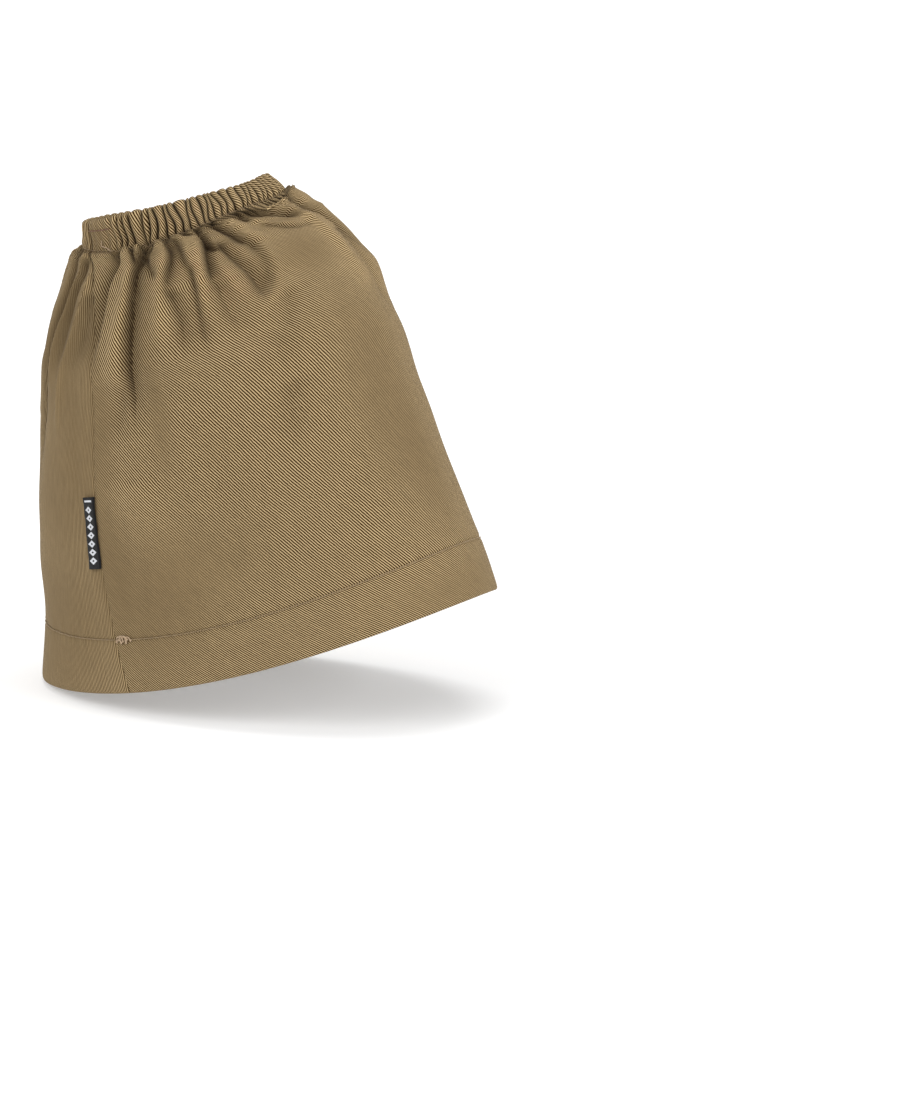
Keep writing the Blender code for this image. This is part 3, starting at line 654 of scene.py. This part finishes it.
def cloth_height(gather, around, down, gathered):
    """Height of the cloth over the smooth tube, and how much painted shade each place gets, from 0 to 1."""
    sizes = bpy.context.scene.drill_sizes
    folds, open_share = fold_relief(around, down)
    gathers, valley = gather_relief(gather, down)
    start, end = SMOOTH_SHOULDER
    smoothed = soft_step((around - start) / 0.03) * soft_step((end - around) / 0.03) * (down > CASING_DEPTH)
    gathered = gathered * (1 - 0.95 * smoothed)
    height = folds * sizes.fold_height + gathers * gathered * sizes.gather_height
    height += hand(around, down) + seam_relief(gather, around, down) + hem_relief(gather, down)
    # Painted shade along the seam's groove, darkest where the seam is drawn in most
    at_seam = SEAM_SHADE * drawn_in(down) ** 1.5 * bell(beside_seam(gather, around, down), 0.45)
    open_share = open_share * (1 - valley * np.clip(gathered, 0, 1)) * (1 - at_seam)
    return height, 1 - open_share


def cloth_point(gather, down, inset, gathered):
    """Points on the cloth, in millimetres, how far each stands out of its surroundings, and how much painted shade it
    gets.
    """
    around = around_at(gather, down)
    height, hollow = cloth_height(gather, around, down, gathered)
    rise = RIM_BUMPS * gather_relief(gather, down)[0] * np.clip(1 - down / 2.5, 0, 1)
    from_tip = around - RIM_TIP_AT
    rise += RIM_TIP * bell(from_tip, np.where(from_tip < 0, *RIM_TIP_REACH)) * np.clip(1 - down / 8.0, 0, 1)
    rise += SHOULDER_RISE * at_shoulder(around, down) * soft_step(down - CASING_DEPTH + 0.5)
    points = form(around, down) + outward(around, down) * (height - inset)[:, None]
    points[:, 2] += rise
    return points, height, hollow


def weave_shows(around, down):
    """How clearly the weave and its painted groove shade show, from 0 to 1."""
    shows = np.ones_like(around)
    for row in FAINT_WEAVE:
        place = dict(zip(FAINT_COLUMNS, row))
        across = round_from(around, place["around"]) * girth_at(down) / place["across"]
        along = (down - place["down"]) / place["along"]
        shows *= 1 - place["lost"] * np.exp(-(across ** 2 + along ** 2) ** 1.5)
    return shows


def flat_sheet(columns, rows):
    """A flat grid and the column and row of each of its corners."""
    grid = bmesh.new()
    bmesh.ops.create_grid(grid, x_segments=columns, y_segments=rows, size=0.5)
    corners = np.array([vertex.co for vertex in grid.verts])
    column = np.rint((corners[:, 0] + 0.5) * columns).astype(int)
    row = np.rint((corners[:, 1] + 0.5) * rows).astype(int)
    return grid, column, row


def show(name, data):
    """An object of this mesh, light or camera in the scene."""
    obj = bpy.data.objects.new(name, data)
    bpy.context.scene.collection.objects.link(obj)
    return obj


def finish_sheet(name, grid, points, flat, values, facing, closed=True):
    """Place the grid's corners, give them their flat places and values, join what meets and face it outwards."""
    mesh = bpy.data.meshes.new(name)
    grid.to_mesh(mesh)
    grid.free()
    mesh.vertices.foreach_set("co", (points * MM).astype(np.float32).ravel())
    corner = np.empty(len(mesh.loops), dtype=np.int32)
    mesh.loops.foreach_get("vertex_index", corner)
    cut = mesh.uv_layers.new(name="cut")
    cut.data.foreach_set("uv", (flat[corner] * MM).astype(np.float32).ravel())
    for value_name, value in values.items():
        mesh.attributes.new(value_name, "FLOAT", "POINT").data.foreach_set("value", value.astype(np.float32))
    sheet = bmesh.new()
    sheet.from_mesh(mesh)
    if closed:
        bmesh.ops.remove_doubles(sheet, verts=sheet.verts, dist=1e-6)
    bmesh.ops.recalc_face_normals(sheet, faces=sheet.faces)
    sheet.faces.ensure_lookup_table()
    sheet.normal_update()
    if sheet.faces[0].normal.dot(Vector(facing)) < 0:
        bmesh.ops.reverse_faces(sheet, faces=sheet.faces)
    sheet.to_mesh(mesh)
    sheet.free()
    mesh.shade_smooth()
    return show(name, mesh)


def lay_band(name, gathers, path, follows_folds=True):
    """A band of cloth all round, on rows of (down, inset, gathered). Its weave follows every fold, or lies evenly."""
    rows = np.array(path, dtype=float)
    grid, column, row = flat_sheet(len(gathers) - 1, len(rows) - 1)
    gather, down, inset, gathered = gathers[column], rows[row, 0], rows[row, 1], rows[row, 2]
    points, height, hollow = cloth_point(gather, down, inset, gathered)
    drop = so_far(np.hypot(np.diff(rows[:, 0]), np.diff(rows[:, 1])))
    outer = int(np.argmin(rows[:, 1]))
    cloth_down = rows[outer, 0] + (drop - drop[outer]) * np.sign(rows[outer, 0] - rows[0, 0])
    placed = np.empty((len(rows), len(gathers), 3))
    placed[row, column] = points
    run = np.cumsum(np.linalg.norm(np.diff(placed, axis=1, prepend=placed[:, :1]), axis=2), axis=1)
    round_share = (run / run[:, -1:])[row, column] if follows_folds else between_valleys(gather, CLOTH_PLACES)
    angle = CUT_ANGLE * (round_share - 0.5)
    radius = CUT_RADIUS + cloth_down[row]
    pull = PULL_SLANT * np.minimum(cloth_down[row] - PULL_DOWN, 0) * (1 - soft_step(round_share / PULL_ROUND))
    flat = np.stack((radius * np.sin(angle) + pull, radius * np.cos(angle)), axis=-1)
    around = around_at(gather, down)
    # How far a place stands out, which sets its painted highlight
    proud = np.clip((height - hand(around, down)) / 1.6, 0.0, 1.0)
    # The painted highlight and the painted shade go to the material as the proud and hollow attributes
    values = {"proud": proud, "hollow": hollow, "weave": weave_shows(around, down)}
    face = np.flatnonzero((row <= 1) & (column <= 1))
    facing = outward(around[face], down[face]).mean(axis=0)
    return finish_sheet(name, grid, points, flat, values, facing)


def gather_columns(front, elsewhere):
    """The columns of a band, so many to each gather by the label and elsewhere, and closer beside the seam."""
    shown = len(GATHERS_SHOWN) - 1
    even = np.concatenate((
        np.arange(front, shown * front) / front,
        shown + np.arange((GATHER_COUNT - 1 - shown) * elsewhere + 1) / elsewhere,
    ))
    beside = np.array((0.0, 0.04, 0.09, 0.15, 0.22, 0.30, 0.40, 0.55, 0.75))
    return np.concatenate((beside, even, GATHER_COUNT - beside[::-1]))


def thicken(obj, ply):
    """Give a sheet its ply, inwards from its face."""
    wall = obj.modifiers.new("ply", "SOLIDIFY")
    wall.thickness = ply
    wall.offset = -1.0


def thread(name, lines, radius):
    """Round thread along each of the lines, tapered shut at its ends. A line is points and the way up."""
    mesh = bpy.data.meshes.new(name)
    whole = bmesh.new()
    length_layer = whole.verts.layers.float.new("along")
    for points, up in lines:
        along = np.gradient(points, axis=0)
        along /= np.linalg.norm(along, axis=1, keepdims=True)
        aside = np.cross(along, up)
        aside /= np.linalg.norm(aside, axis=1, keepdims=True)
        over = np.cross(aside, along)
        last = len(points) - 1
        runs = so_far(np.linalg.norm(np.diff(points, axis=0), axis=1))
        thin = np.ones(last + 1)
        thin[0] = thin[-1] = 0.05
        made = bmesh.ops.create_grid(whole, x_segments=THREAD_SIDES, y_segments=last, size=0.5)["verts"]
        corners = np.array([vertex.co for vertex in made])
        side = np.rint((corners[:, 0] + 0.5) * THREAD_SIDES)
        row = np.rint((corners[:, 1] + 0.5) * last).astype(int)
        turn = 2 * math.pi * side / THREAD_SIDES
        ring = aside[row] * np.cos(turn)[:, None] + over[row] * np.sin(turn)[:, None]
        placed = (points[row] + ring * (radius * thin[row])[:, None]) * MM
        for vertex, point, k in zip(made, placed, row):
            vertex.co = point
            vertex[length_layer] = runs[k] * MM
    bmesh.ops.remove_doubles(whole, verts=whole.verts, dist=2e-6)
    bmesh.ops.holes_fill(whole, edges=whole.edges, sides=THREAD_SIDES)
    bmesh.ops.recalc_face_normals(whole, faces=whole.faces)
    whole.to_mesh(mesh)
    whole.free()
    mesh.shade_smooth()
    return show(name, mesh)


def stitch_line(start, end, down, inset, gathered, inwards=False):
    """The points of a row of stitches from one gather to another, so far down, and the way up from the cloth."""
    sizes = bpy.context.scene.sewing_sizes
    stitch, radius = sizes.stitch / MM, sizes.thread / MM / 2
    fine = np.linspace(start, end, max(200, int(abs(end - start) * 40)))
    fine_down = np.interp(fine, (start, end), down) if np.ndim(down) else np.full(len(fine), float(down))
    path, _, _ = cloth_point(fine, fine_down, inset, gathered)
    runs = so_far(np.linalg.norm(np.diff(path, axis=0), axis=1))
    stitches = max(1, round(runs[-1] / stitch))
    places = (np.arange(stitches)[:, None] + STITCH_SHARES).ravel()
    places = np.append(places, stitches) / stitches * runs[-1]
    rises = np.append(np.tile(STITCH_RISES, stitches), STITCH_RISES[0]) * radius * 2
    gather = np.interp(places, runs, fine)
    down_there = np.interp(places, runs, fine_down)
    points, _, _ = cloth_point(gather, down_there, inset, gathered)
    up = outward(around_at(gather, down_there), down_there) * (-1 if inwards else 1)
    return points + up * rises[:, None], up


def curl(start, end, down, swing, turns, rise):
    """A looped end of thread that lies on the cloth from one gather to another, and swings so far up and down."""
    along = np.linspace(0.0, 1.0, int(turns * 14) + 1)
    turn = 2 * math.pi * turns * along
    fade = np.sin(math.pi * (0.12 + 0.80 * along))
    gather = start + (end - start) * along + 0.13 * (end - start) * np.cos(turn) * fade
    down_there = down + swing * np.sin(turn) * fade
    points, _, _ = cloth_point(gather, down_there, 0.0, 0.0)
    up = outward(around_at(gather, down_there), down_there)
    return points + up * (rise + 0.22 * np.cos(turn))[:, None], up


class Value:
    """A number, colour or place in a material, reckoned with by the usual signs."""

    def __init__(self, socket):
        self.socket = socket

    def __add__(self, other):
        return reckon("ADD", self, other)

    def __sub__(self, other):
        return reckon("SUBTRACT", self, other)

    def __mul__(self, other):
        return reckon("MULTIPLY", self, other)

    def __gt__(self, other):
        return reckon("GREATER_THAN", self, other)

    def __lt__(self, other):
        return reckon("LESS_THAN", self, other)

    def __abs__(self):
        return reckon("ABSOLUTE", self)


def feed(node, values):
    """Set a node's inputs, given by name or number, or join values to them."""
    for name, value in values.items():
        if isinstance(value, Value):
            node.id_data.links.new(value.socket, node.inputs[name])
        else:
            node.inputs[name].default_value = value


def add(tree, kind, values, output=0, **settings):
    """Add a shader node with its settings and inputs, and give one of its outputs."""
    node = tree.nodes.new(kind)
    for setting, value in settings.items():
        setattr(node, setting, value)
    feed(node, values)
    return Value(node.outputs[output])


def add_after(value, kind, values, output=0, **settings):
    """Add a shader node in the tree of this value."""
    return add(value.socket.id_data, kind, values, output, **settings)


def reckon(operation, *values):
    """A Math node's result."""
    return add_after(values[0], "ShaderNodeMath", dict(enumerate(values)), operation=operation)


def dot(place, direction):
    """How far a place lies along a direction."""
    return add_after(place, "ShaderNodeVectorMath", {0: place, 1: direction}, "Value", operation="DOT_PRODUCT")


def noise(place, scale, detail, swing):
    """Noise about zero that swings so far each way."""
    cloud = add_after(place, "ShaderNodeTexNoise", {"Vector": place, "Scale": scale, "Detail": detail}, "Fac")
    return (cloud - 0.5) * (2 * swing)


def wave(turns):
    """A wave from 0 to 1 with its crests at whole turns."""
    return reckon("MULTIPLY_ADD", reckon("COSINE", turns * (2 * math.pi)), 0.5, 0.5)


def ramp(value, low, high, from_low=0.0, from_high=1.0, smooth="LINEAR"):
    """Map a value's range onto another."""
    ends = {"Value": value, "From Min": from_low, "From Max": from_high, "To Min": low, "To Max": high}
    return add_after(value, "ShaderNodeMapRange", ends, "Result", interpolation_type=smooth)


def mix(factor, first, second):
    """Mix two colours."""
    return add_after(factor, "ShaderNodeMix", {0: factor, 6: first, 7: second}, 2, data_type="RGBA")


def scale_colour(shade, factor):
    """Make a colour lighter or darker."""
    return add_after(factor, "ShaderNodeVectorMath", {0: shade, "Scale": factor}, operation="SCALE")


def bump(shader, height, depth):
    """Raise the surface by a height from 0 to 1, over a depth in metres."""
    raised = add_after(height, "ShaderNodeBump", {"Height": height, "Distance": depth, "Strength": 1.0}, "Normal")
    feed(shader, {"Normal": raised})


def new_material(name):
    """A material with its tree and shader."""
    material = bpy.data.materials.new(name)
    material.use_nodes = True
    return material, material.node_tree, material.node_tree.nodes["Principled BSDF"]


def attribute(tree, name):
    """A value that the mesh carries."""
    return add(tree, "ShaderNodeAttribute", {}, "Fac", attribute_name=name)


def cut_place(tree):
    """The place on the flat cut, in metres."""
    return add(tree, "ShaderNodeUVMap", {}, "UV", uv_map="cut")


def cotton_drill(name, drill, painted_crest_highlight=CLOTH_PAINTED_HIGHLIGHT):
    """Drill: slanting ribs of uneven yarn on the cut, with painted shade in the grooves between its ribs, a painted
    highlight where it stands out and painted shade in its valleys.
    """
    material, tree, shader = new_material(name)
    cut = cut_place(tree)
    lean, spacing = drill.twill_lean, drill.twill_spacing
    run = dot(cut, (math.sin(lean) / spacing, math.cos(lean) / spacing, 0.0))
    line = dot(cut, (math.cos(lean) / spacing, -math.sin(lean) / spacing, 0.0))
    line = line + noise(cut, 42.0, 1.0, 0.55) + noise(cut, 620.0, 1.0, 0.14)
    rib = ramp(wave(line), 0.0, 1.0, 0.28, 0.92, "SMOOTHSTEP")
    # The weave, with its painted groove shade, fades where it shows less
    rib = ramp(attribute(tree, "weave"), PLAIN_RIB, rib)
    bead = wave(reckon("MULTIPLY_ADD", run, 1.9, line * 0.5))
    slub = noise(add(tree, "ShaderNodeCombineXYZ", {0: line * 0.9, 1: run * 0.11}), 1.0, 2.0, 0.22)
    patch = noise(cut, 17.0, 2.0, 0.05)
    speck = noise(cut, 1500.0, 2.0, 0.11)
    tone = slub + patch + reckon("MULTIPLY_ADD", bead, 0.10, -0.05) + speck
    # Painted highlight: lighter where the cloth stands out
    tone = tone + ramp(attribute(tree, "proud"), 1.0, painted_crest_highlight)
    # The twill's own pattern, with painted shade in its grooves
    cloth = scale_colour(mix(rib, (*drill.groove_colour_and_shade, 1.0), (*drill.rib_colour, 1.0)), tone)
    feed(shader, {
        # Painted shade: the cloth is mixed towards the painted shade colour as far as the hollow attribute says
        "Base Color": mix(attribute(tree, "hollow"), cloth, (*drill.painted_shade_colour, 1.0)),
        "Roughness": ramp(rib, drill.roughness + 0.04, drill.roughness - 0.06),
        "Sheen Weight": drill.sheen,
        "Sheen Roughness": 0.45,
        "Sheen Tint": (0.95, 0.86, 0.68, 1.0),
        "Specular IOR Level": 0.15,
    })
    bump(shader, rib * 0.72 + bead * 0.10 + (speck + slub * 0.3), drill.twill_depth)
    return material


def spun_thread(name, thread_colour):
    """Thread of two twisted strands."""
    material, tree, shader = new_material(name)
    strand = wave(attribute(tree, "along") * (1 / TWIST))
    fuzz = noise(add(tree, "ShaderNodeTexCoord", {}, "Object"), 2600.0, 2.0, 0.35)
    tone = reckon("MULTIPLY_ADD", strand, 0.35, 0.80) + fuzz
    feed(shader, {"Base Color": scale_colour((*thread_colour,), tone), "Roughness": 0.62, "Sheen Weight": 0.05})
    bump(shader, strand + fuzz, 0.00008)
    return material


def woven_tape(name, label):
    """Black woven tape with a row of pale diamonds and a bar at its upper end."""
    material, tree, shader = new_material(name)
    cut = cut_place(tree)
    across = dot(cut, (1.0 / label.width, 0.0, 0.0))
    along = dot(cut, (0.0, 1.0 / label.length, 0.0))
    in_width = across - MARKS_MIDDLE
    cells = (along - DIAMONDS_FROM) * (LABEL_DIAMONDS / DIAMONDS_OVER)
    far = abs((reckon("FRACT", cells) - 0.5) * 1.15) + abs(in_width * 1.5)
    marks = (far < 0.50) * (far > 0.15) * ((cells > 0.0) * (cells < float(LABEL_DIAMONDS)))
    bar = (abs(along - BAR_AT) < BAR_HALF_HEIGHT) * (abs(in_width) < BAR_HALF_WIDTH)
    pale = reckon("MAXIMUM", marks, bar) * (abs(across - 0.5) < 0.5)
    weave = wave(across * (label.width / TAPE_WARP)) * wave(along * (label.length / TAPE_WEFT))
    shade = mix(pale, (*label.tape_colour, 1.0), (*label.mark_colour, 1.0))
    feed(shader, {
        "Base Color": scale_colour(shade, ramp(weave, 0.72, 1.15)),
        "Roughness": ramp(weave, 0.62, 0.48),
        "Sheen Weight": 0.03,
        "Specular IOR Level": 0.28,
    })
    bump(shader, weave + pale * 0.6, 0.00007)
    return material


def dress(obj, material, slot, *nodes):
    """Put a piece on the cover: its material, the body it rides on and the solid it stands for. The slot is not used.
    """
    obj.data.materials.append(material)
    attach(obj, "root")
    if nodes:
        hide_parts(*nodes)


class BOOTCOVER_OT_casing(bpy.types.Operator):
    """Gather the casing over its hidden elastic: an outer ply, its fold at the rim and an inner ply"""

    bl_idname = "boot_cover.casing"
    bl_label = "Gather the casing"

    def execute(self, context):
        drill = context.scene.drill_sizes
        columns = gather_columns(drill.casing_columns, drill.casing_columns)
        casing = lay_band("casing_cloth", columns, CASING_PATH, False)
        thicken(casing, drill.ply * CASING_PLY)
        dress(casing, cotton_drill("gathered_cotton_drill", drill, CASING_PAINTED_HIGHLIGHT), "drill_casing", "elastic_casing")
        return {"FINISHED"}


class BOOTCOVER_OT_panel(bpy.types.Operator):
    """Lay the panel from under the casing to under the hem, with its gathers and folds"""

    bl_idname = "boot_cover.panel"
    bl_label = "Lay the panel"

    def execute(self, context):
        drill = context.scene.drill_sizes
        downs = np.concatenate([np.arange(start, end - step / 2, step) for start, end, step in PANEL_STEPS])
        path = [(down, inset, 1.0) for down, inset in PANEL_TOP]
        path += [(down, 0.0, 1.0) for down in downs] + [(down, inset, 0.0) for down, inset in PANEL_FOOT]
        panel = lay_band("panel_cloth", gather_columns(drill.front_columns, drill.columns), path)
        thicken(panel, drill.ply)
        dress(panel, cotton_drill("cotton_drill", drill), "drill_panel", "body_panel")
        return {"FINISHED"}


class BOOTCOVER_OT_hem(bpy.types.Operator):
    """Turn up the hem"""

    bl_idname = "boot_cover.hem"
    bl_label = "Turn up the hem"

    def execute(self, context):
        drill = context.scene.drill_sizes
        columns = gather_columns(drill.hem_columns, drill.hem_columns)
        hem = lay_band("hem_cloth", columns, [(down, inset, 0.0) for down, inset in HEM_PATH])
        thicken(hem, drill.ply)
        dress(hem, cotton_drill("doubled_cotton_drill", drill), "drill_hem", "hem_band")
        return {"FINISHED"}


class BOOTCOVER_OT_label(bpy.types.Operator):
    """Fold the side label and catch it in the seam"""

    bl_idname = "boot_cover.label"
    bl_label = "Fold the label"

    def execute(self, context):
        label = context.scene.label_sizes
        length, width = label.length / MM, label.width / MM
        turn = np.linspace(-math.pi / 2, math.pi / 2, FOLD_COLUMNS + 1)
        layer = LABEL_CAUGHT + (width - LABEL_FOLD) * np.linspace(0.0, 1.0, LAYER_COLUMNS + 1)[:-1]
        aside = np.concatenate((layer, width - LABEL_FOLD + LABEL_FOLD * np.cos(turn), layer[::-1]))
        upper, lower = np.full(LAYER_COLUMNS, 2 * LABEL_FOLD), np.zeros(LAYER_COLUMNS)
        lift = np.concatenate((upper, LABEL_FOLD - LABEL_FOLD * np.sin(turn), lower))
        grid, column, row = flat_sheet(len(aside) - 1, LABEL_ROWS)
        along, out = row / LABEL_ROWS, aside[column]
        down = LABEL_TOP + length * row / LABEL_ROWS
        around = seam_at(down) - out / girth_at(down)
        gather = np.full(len(down), float(GATHER_COUNT))
        height = fold_relief(around, down)[0] + hand(around, down) + seam_relief(gather, around + 1.0, down)
        to_end = np.abs(along - 0.5) * 2
        off = 0.30 + 0.65 * (out / width) ** 2 * (0.35 + 0.65 * to_end ** 4) + 0.12 * np.sin(5 * along + out)
        normal = outward(around, down)
        points = form(around, down) + normal * (height + lift[column] + off)[:, None]
        run = so_far(np.hypot(np.diff(aside), np.diff(lift)))
        flat = np.stack((width - run[column], length * row / LABEL_ROWS), axis=-1)
        folded = finish_sheet("side_label", grid, points, flat, {}, normal[0], closed=False)
        thicken(folded, label.tape)
        dress(folded, woven_tape("label_tape", label), "label_tape", "woven_label")
        return {"FINISHED"}


class BOOTCOVER_OT_sewing(bpy.types.Operator):
    """Sew the casing, the hem and the seam, with the knot at the seam and the loose ends"""

    bl_idname = "boot_cover.sewing"
    bl_label = "Sew the stitching"

    def execute(self, context):
        sewing = context.scene.sewing_sizes
        radius = sewing.thread / MM / 2
        own = spun_thread("sewing_thread", sewing.thread_colour)
        pale = spun_thread("pale_thread", sewing.pale_thread_colour)
        reddish = spun_thread("reddish_thread", sewing.join_thread_colour)
        first, last = 0.05, GATHER_COUNT - 0.05
        casing_row = stitch_line(first, last, CASING_DEPTH - 0.1, 0.56, 1.0)
        join_row = stitch_line(0.3, 3.6, (4.3, 3.8), -0.28, 1.0)
        hem_row = stitch_line(first, last, HEM_STITCHING, 0.32, 0.0)
        inner_row = stitch_line(first, last, HEM_STITCHING + 1, 2.22, 0.0, True)
        knot = [
            curl(0.02, 1.35, HEM_STITCHING, 1.35, 3.5, 0.42), curl(0.30, 1.15, HEM_STITCHING - 0.4, 1.05, 2.5, 0.70),
            curl(0.10, 0.75, HEM_STITCHING + 0.5, 0.60, 1.5, 0.95),
        ]
        along = np.linspace(0.0, 1.0, 22)
        gather, down = 1.85 + 1.5 * along ** 1.3, 8.0 + 6.0 * along ** 0.75
        loose, _, _ = cloth_point(gather, down, 0.0, 1.0)
        up = outward(around_at(gather, down), down)
        loose += up * (0.35 + 0.9 * np.sin(math.pi * along))[:, None]
        for name, lines, thickness, yarn, slot in (
            ("casing_stitching", [casing_row], radius * 0.7, own, "drill_casing"),
            ("join_stitching", [join_row], radius, reddish, "drill_casing"),
            ("hem_stitching", [hem_row], radius, own, "drill_hem"),
            ("inner_hem_stitching", [inner_row], radius, own, "drill_hem"),
            ("seam_knot", knot, radius * 1.15, pale, "drill_hem"),
            ("loose_end", [(loose, up)], 0.15, pale, "drill_casing"),
        ):
            dress(thread(name, lines, thickness), yarn, slot)
        return {"FINISHED"}


class BOOTCOVER_OT_stage(bpy.types.Operator):
    """Set the plain floor, the soft lights and the camera"""

    bl_idname = "boot_cover.stage"
    bl_label = "Set the stage"

    def execute(self, context):
        studio = context.scene.studio_sizes
        grid = bmesh.new()
        bmesh.ops.create_grid(grid, x_segments=1, y_segments=1, size=30.0)
        bmesh.ops.translate(grid, verts=grid.verts, vec=(0, 0, CAD_BOX[0].z - FLOOR_GAP))
        mesh = bpy.data.meshes.new("floor")
        grid.to_mesh(mesh)
        grid.free()
        material, _, shader = new_material("pale_floor")
        feed(shader, {
            "Base Color": (*studio.floor_colour, 1.0), "Roughness": 0.9, "Specular IOR Level": 0.1,
            "Emission Color": (1.0, 1.0, 1.0, 1.0), "Emission Strength": studio.floor_glow,
        })
        mesh.materials.append(material)
        show("floor", mesh)

        world = bpy.data.worlds.new("studio")
        world.use_nodes = True
        feed(world.node_tree.nodes["Background"], {"Color": (1, 1, 1, 1), "Strength": studio.even_light})
        context.scene.world = world
        turned, raised = CAMERA_TURNED, CAMERA_RAISED
        right = Vector((math.cos(turned), math.sin(turned), 0))
        back = Vector((math.sin(turned) * math.cos(raised), -math.cos(turned) * math.cos(raised), math.sin(raised)))
        up = back.cross(right)
        scale = CAMERA_DISTANCE / FOCAL_PIXELS
        place = back * CAMERA_DISTANCE - right * (RING_PIXEL[0] - PICTURE[0] / 2) * scale
        place += up * (RING_PIXEL[1] - PICTURE[1] / 2) * scale - Vector(CAMERA_SET_BACK)
        for name, from_camera, energy in (
            ("right_light", (0.82, 0.26, 0.50), studio.right_light),
            ("left_light", (-0.52, 0.46, 0.72), studio.left_light),
            ("top_light", (0.0, 1.0, 0.10), studio.top_light),
        ):
            lamp = bpy.data.lights.new(name, "SUN")
            lamp.energy = energy
            lamp.angle = SUN_SPREAD
            direction = right * from_camera[0] + up * from_camera[1] + back * from_camera[2]
            show(name, lamp).rotation_euler = direction.to_track_quat("Z", "Y").to_euler()
        data = bpy.data.cameras.new("camera")
        data.sensor_fit = "AUTO"
        data.sensor_width = 36
        data.lens = data.sensor_width * FOCAL_PIXELS / PICTURE[1]
        camera = show("camera", data)
        camera.matrix_world = Matrix.Translation(place) @ Matrix((right, up, back)).transposed().to_4x4()
        context.scene.camera = camera
        context.scene.view_settings.view_transform = "Standard"
        return {"FINISHED"}


class BOOTCOVER_PT_panel(bpy.types.Panel):
    """The cover's pieces and sizes"""

    bl_label = "Boot cover"
    bl_idname = "BOOTCOVER_PT_panel"
    bl_space_type = "VIEW_3D"
    bl_region_type = "UI"
    bl_category = "Boot cover"

    def draw(self, context):
        for operator in OPERATORS:
            self.layout.operator(operator.bl_idname)
        for name, _ in GROUPS:
            group = getattr(context.scene, name)
            box = self.layout.box()
            for key in group.__annotations__:
                box.prop(group, key)


OPERATORS = (
    BOOTCOVER_OT_casing, BOOTCOVER_OT_panel, BOOTCOVER_OT_hem, BOOTCOVER_OT_label, BOOTCOVER_OT_sewing,
    BOOTCOVER_OT_stage,
)
GROUPS = (
    ("drill_sizes", DrillSizes), ("sewing_sizes", SewingSizes), ("label_sizes", LabelSizes),
    ("studio_sizes", StudioSizes),
)


def register():
    """Add the groups of sizes, the operators and the panel."""
    for name, group in GROUPS:
        bpy.utils.register_class(group)
        setattr(bpy.types.Scene, name, PointerProperty(type=group))
    for kind in (*OPERATORS, BOOTCOVER_PT_panel):
        bpy.utils.register_class(kind)


def unregister():
    """Take them away again."""
    for kind in (BOOTCOVER_PT_panel, *reversed(OPERATORS)):
        bpy.utils.unregister_class(kind)
    for name, group in reversed(GROUPS):
        delattr(bpy.types.Scene, name)
        bpy.utils.unregister_class(group)


def main():
    """Make every piece."""
    register()
    bpy.ops.boot_cover.casing()
    bpy.ops.boot_cover.panel()
    bpy.ops.boot_cover.hem()
    bpy.ops.boot_cover.label()
    bpy.ops.boot_cover.sewing()
    bpy.ops.boot_cover.stage()


if __name__ == "__main__":
    main()
